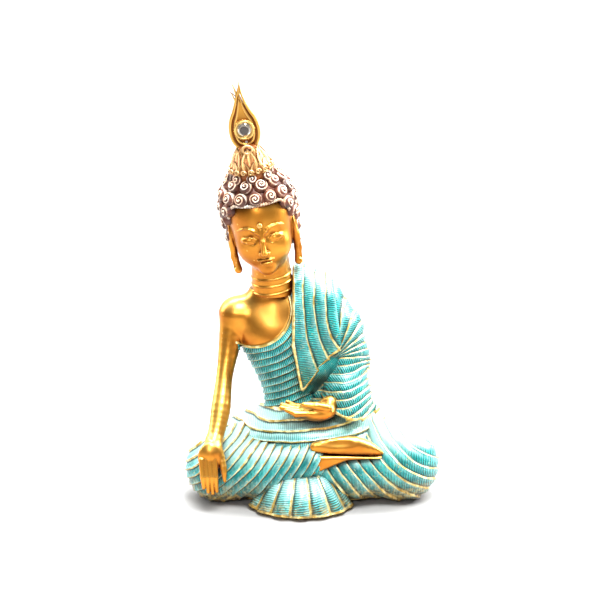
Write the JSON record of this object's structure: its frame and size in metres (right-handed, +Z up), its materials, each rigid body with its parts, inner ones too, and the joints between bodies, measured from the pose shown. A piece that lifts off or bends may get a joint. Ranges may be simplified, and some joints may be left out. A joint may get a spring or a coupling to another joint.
{
  "type": "seated buddha statue",
  "caption": "Seated earth-touching Buddha figure in a draped robe, with a curled hair cap, leaf crown, flame finial and a set stone.",
  "frame": {"origin": "plan centre of the figure on the plane the four rubber feet stand on", "axes": "+Z up, the figure faces -Y, its left hand side is +X"},
  "size_m": [0.167, 0.1044, 0.2821],
  "materials": {
    "turquoise_cloth": "satin",
    "antique_gold": "metallic paint",
    "hair_brown": "dry brushed",
    "pale_gold": "metallic paint",
    "stone": "polished",
    "dowel_steel": "plain",
    "base_board": "plain",
    "foot_rubber": "matte"
  },
  "bodies": {
    "root": {"lap_casting": "turquoise_cloth", "front_apron": "turquoise_cloth", "torso_casting": "turquoise_cloth", "shoulder_drape": "turquoise_cloth", "left_sleeve": "turquoise_cloth", "left_hand": "antique_gold", "right_arm": "antique_gold", "right_foot": "antique_gold", "head_casting": "antique_gold", "hair_cap": "hair_brown", "leaf_crown": "pale_gold", "flame_finial": "pale_gold", "gem_bezel": "antique_gold", "finial_gem": "stone", "urna_bead": "pale_gold", "neck_pin": "dowel_steel", "waist_pin_right": "dowel_steel", "waist_pin_left": "dowel_steel", "shoulder_pin": "dowel_steel", "wrist_pin": "dowel_steel", "foot_pin": "dowel_steel", "apron_pin_right": "dowel_steel", "apron_pin_left": "dowel_steel", "crown_pin": "dowel_steel", "flame_pin": "dowel_steel", "base_plate": "base_board", "rubber_foot_front_right": "foot_rubber", "rubber_foot_front_left": "foot_rubber", "rubber_foot_back_right": "foot_rubber", "rubber_foot_back_left": "foot_rubber"}
  },
  "joints": []
}
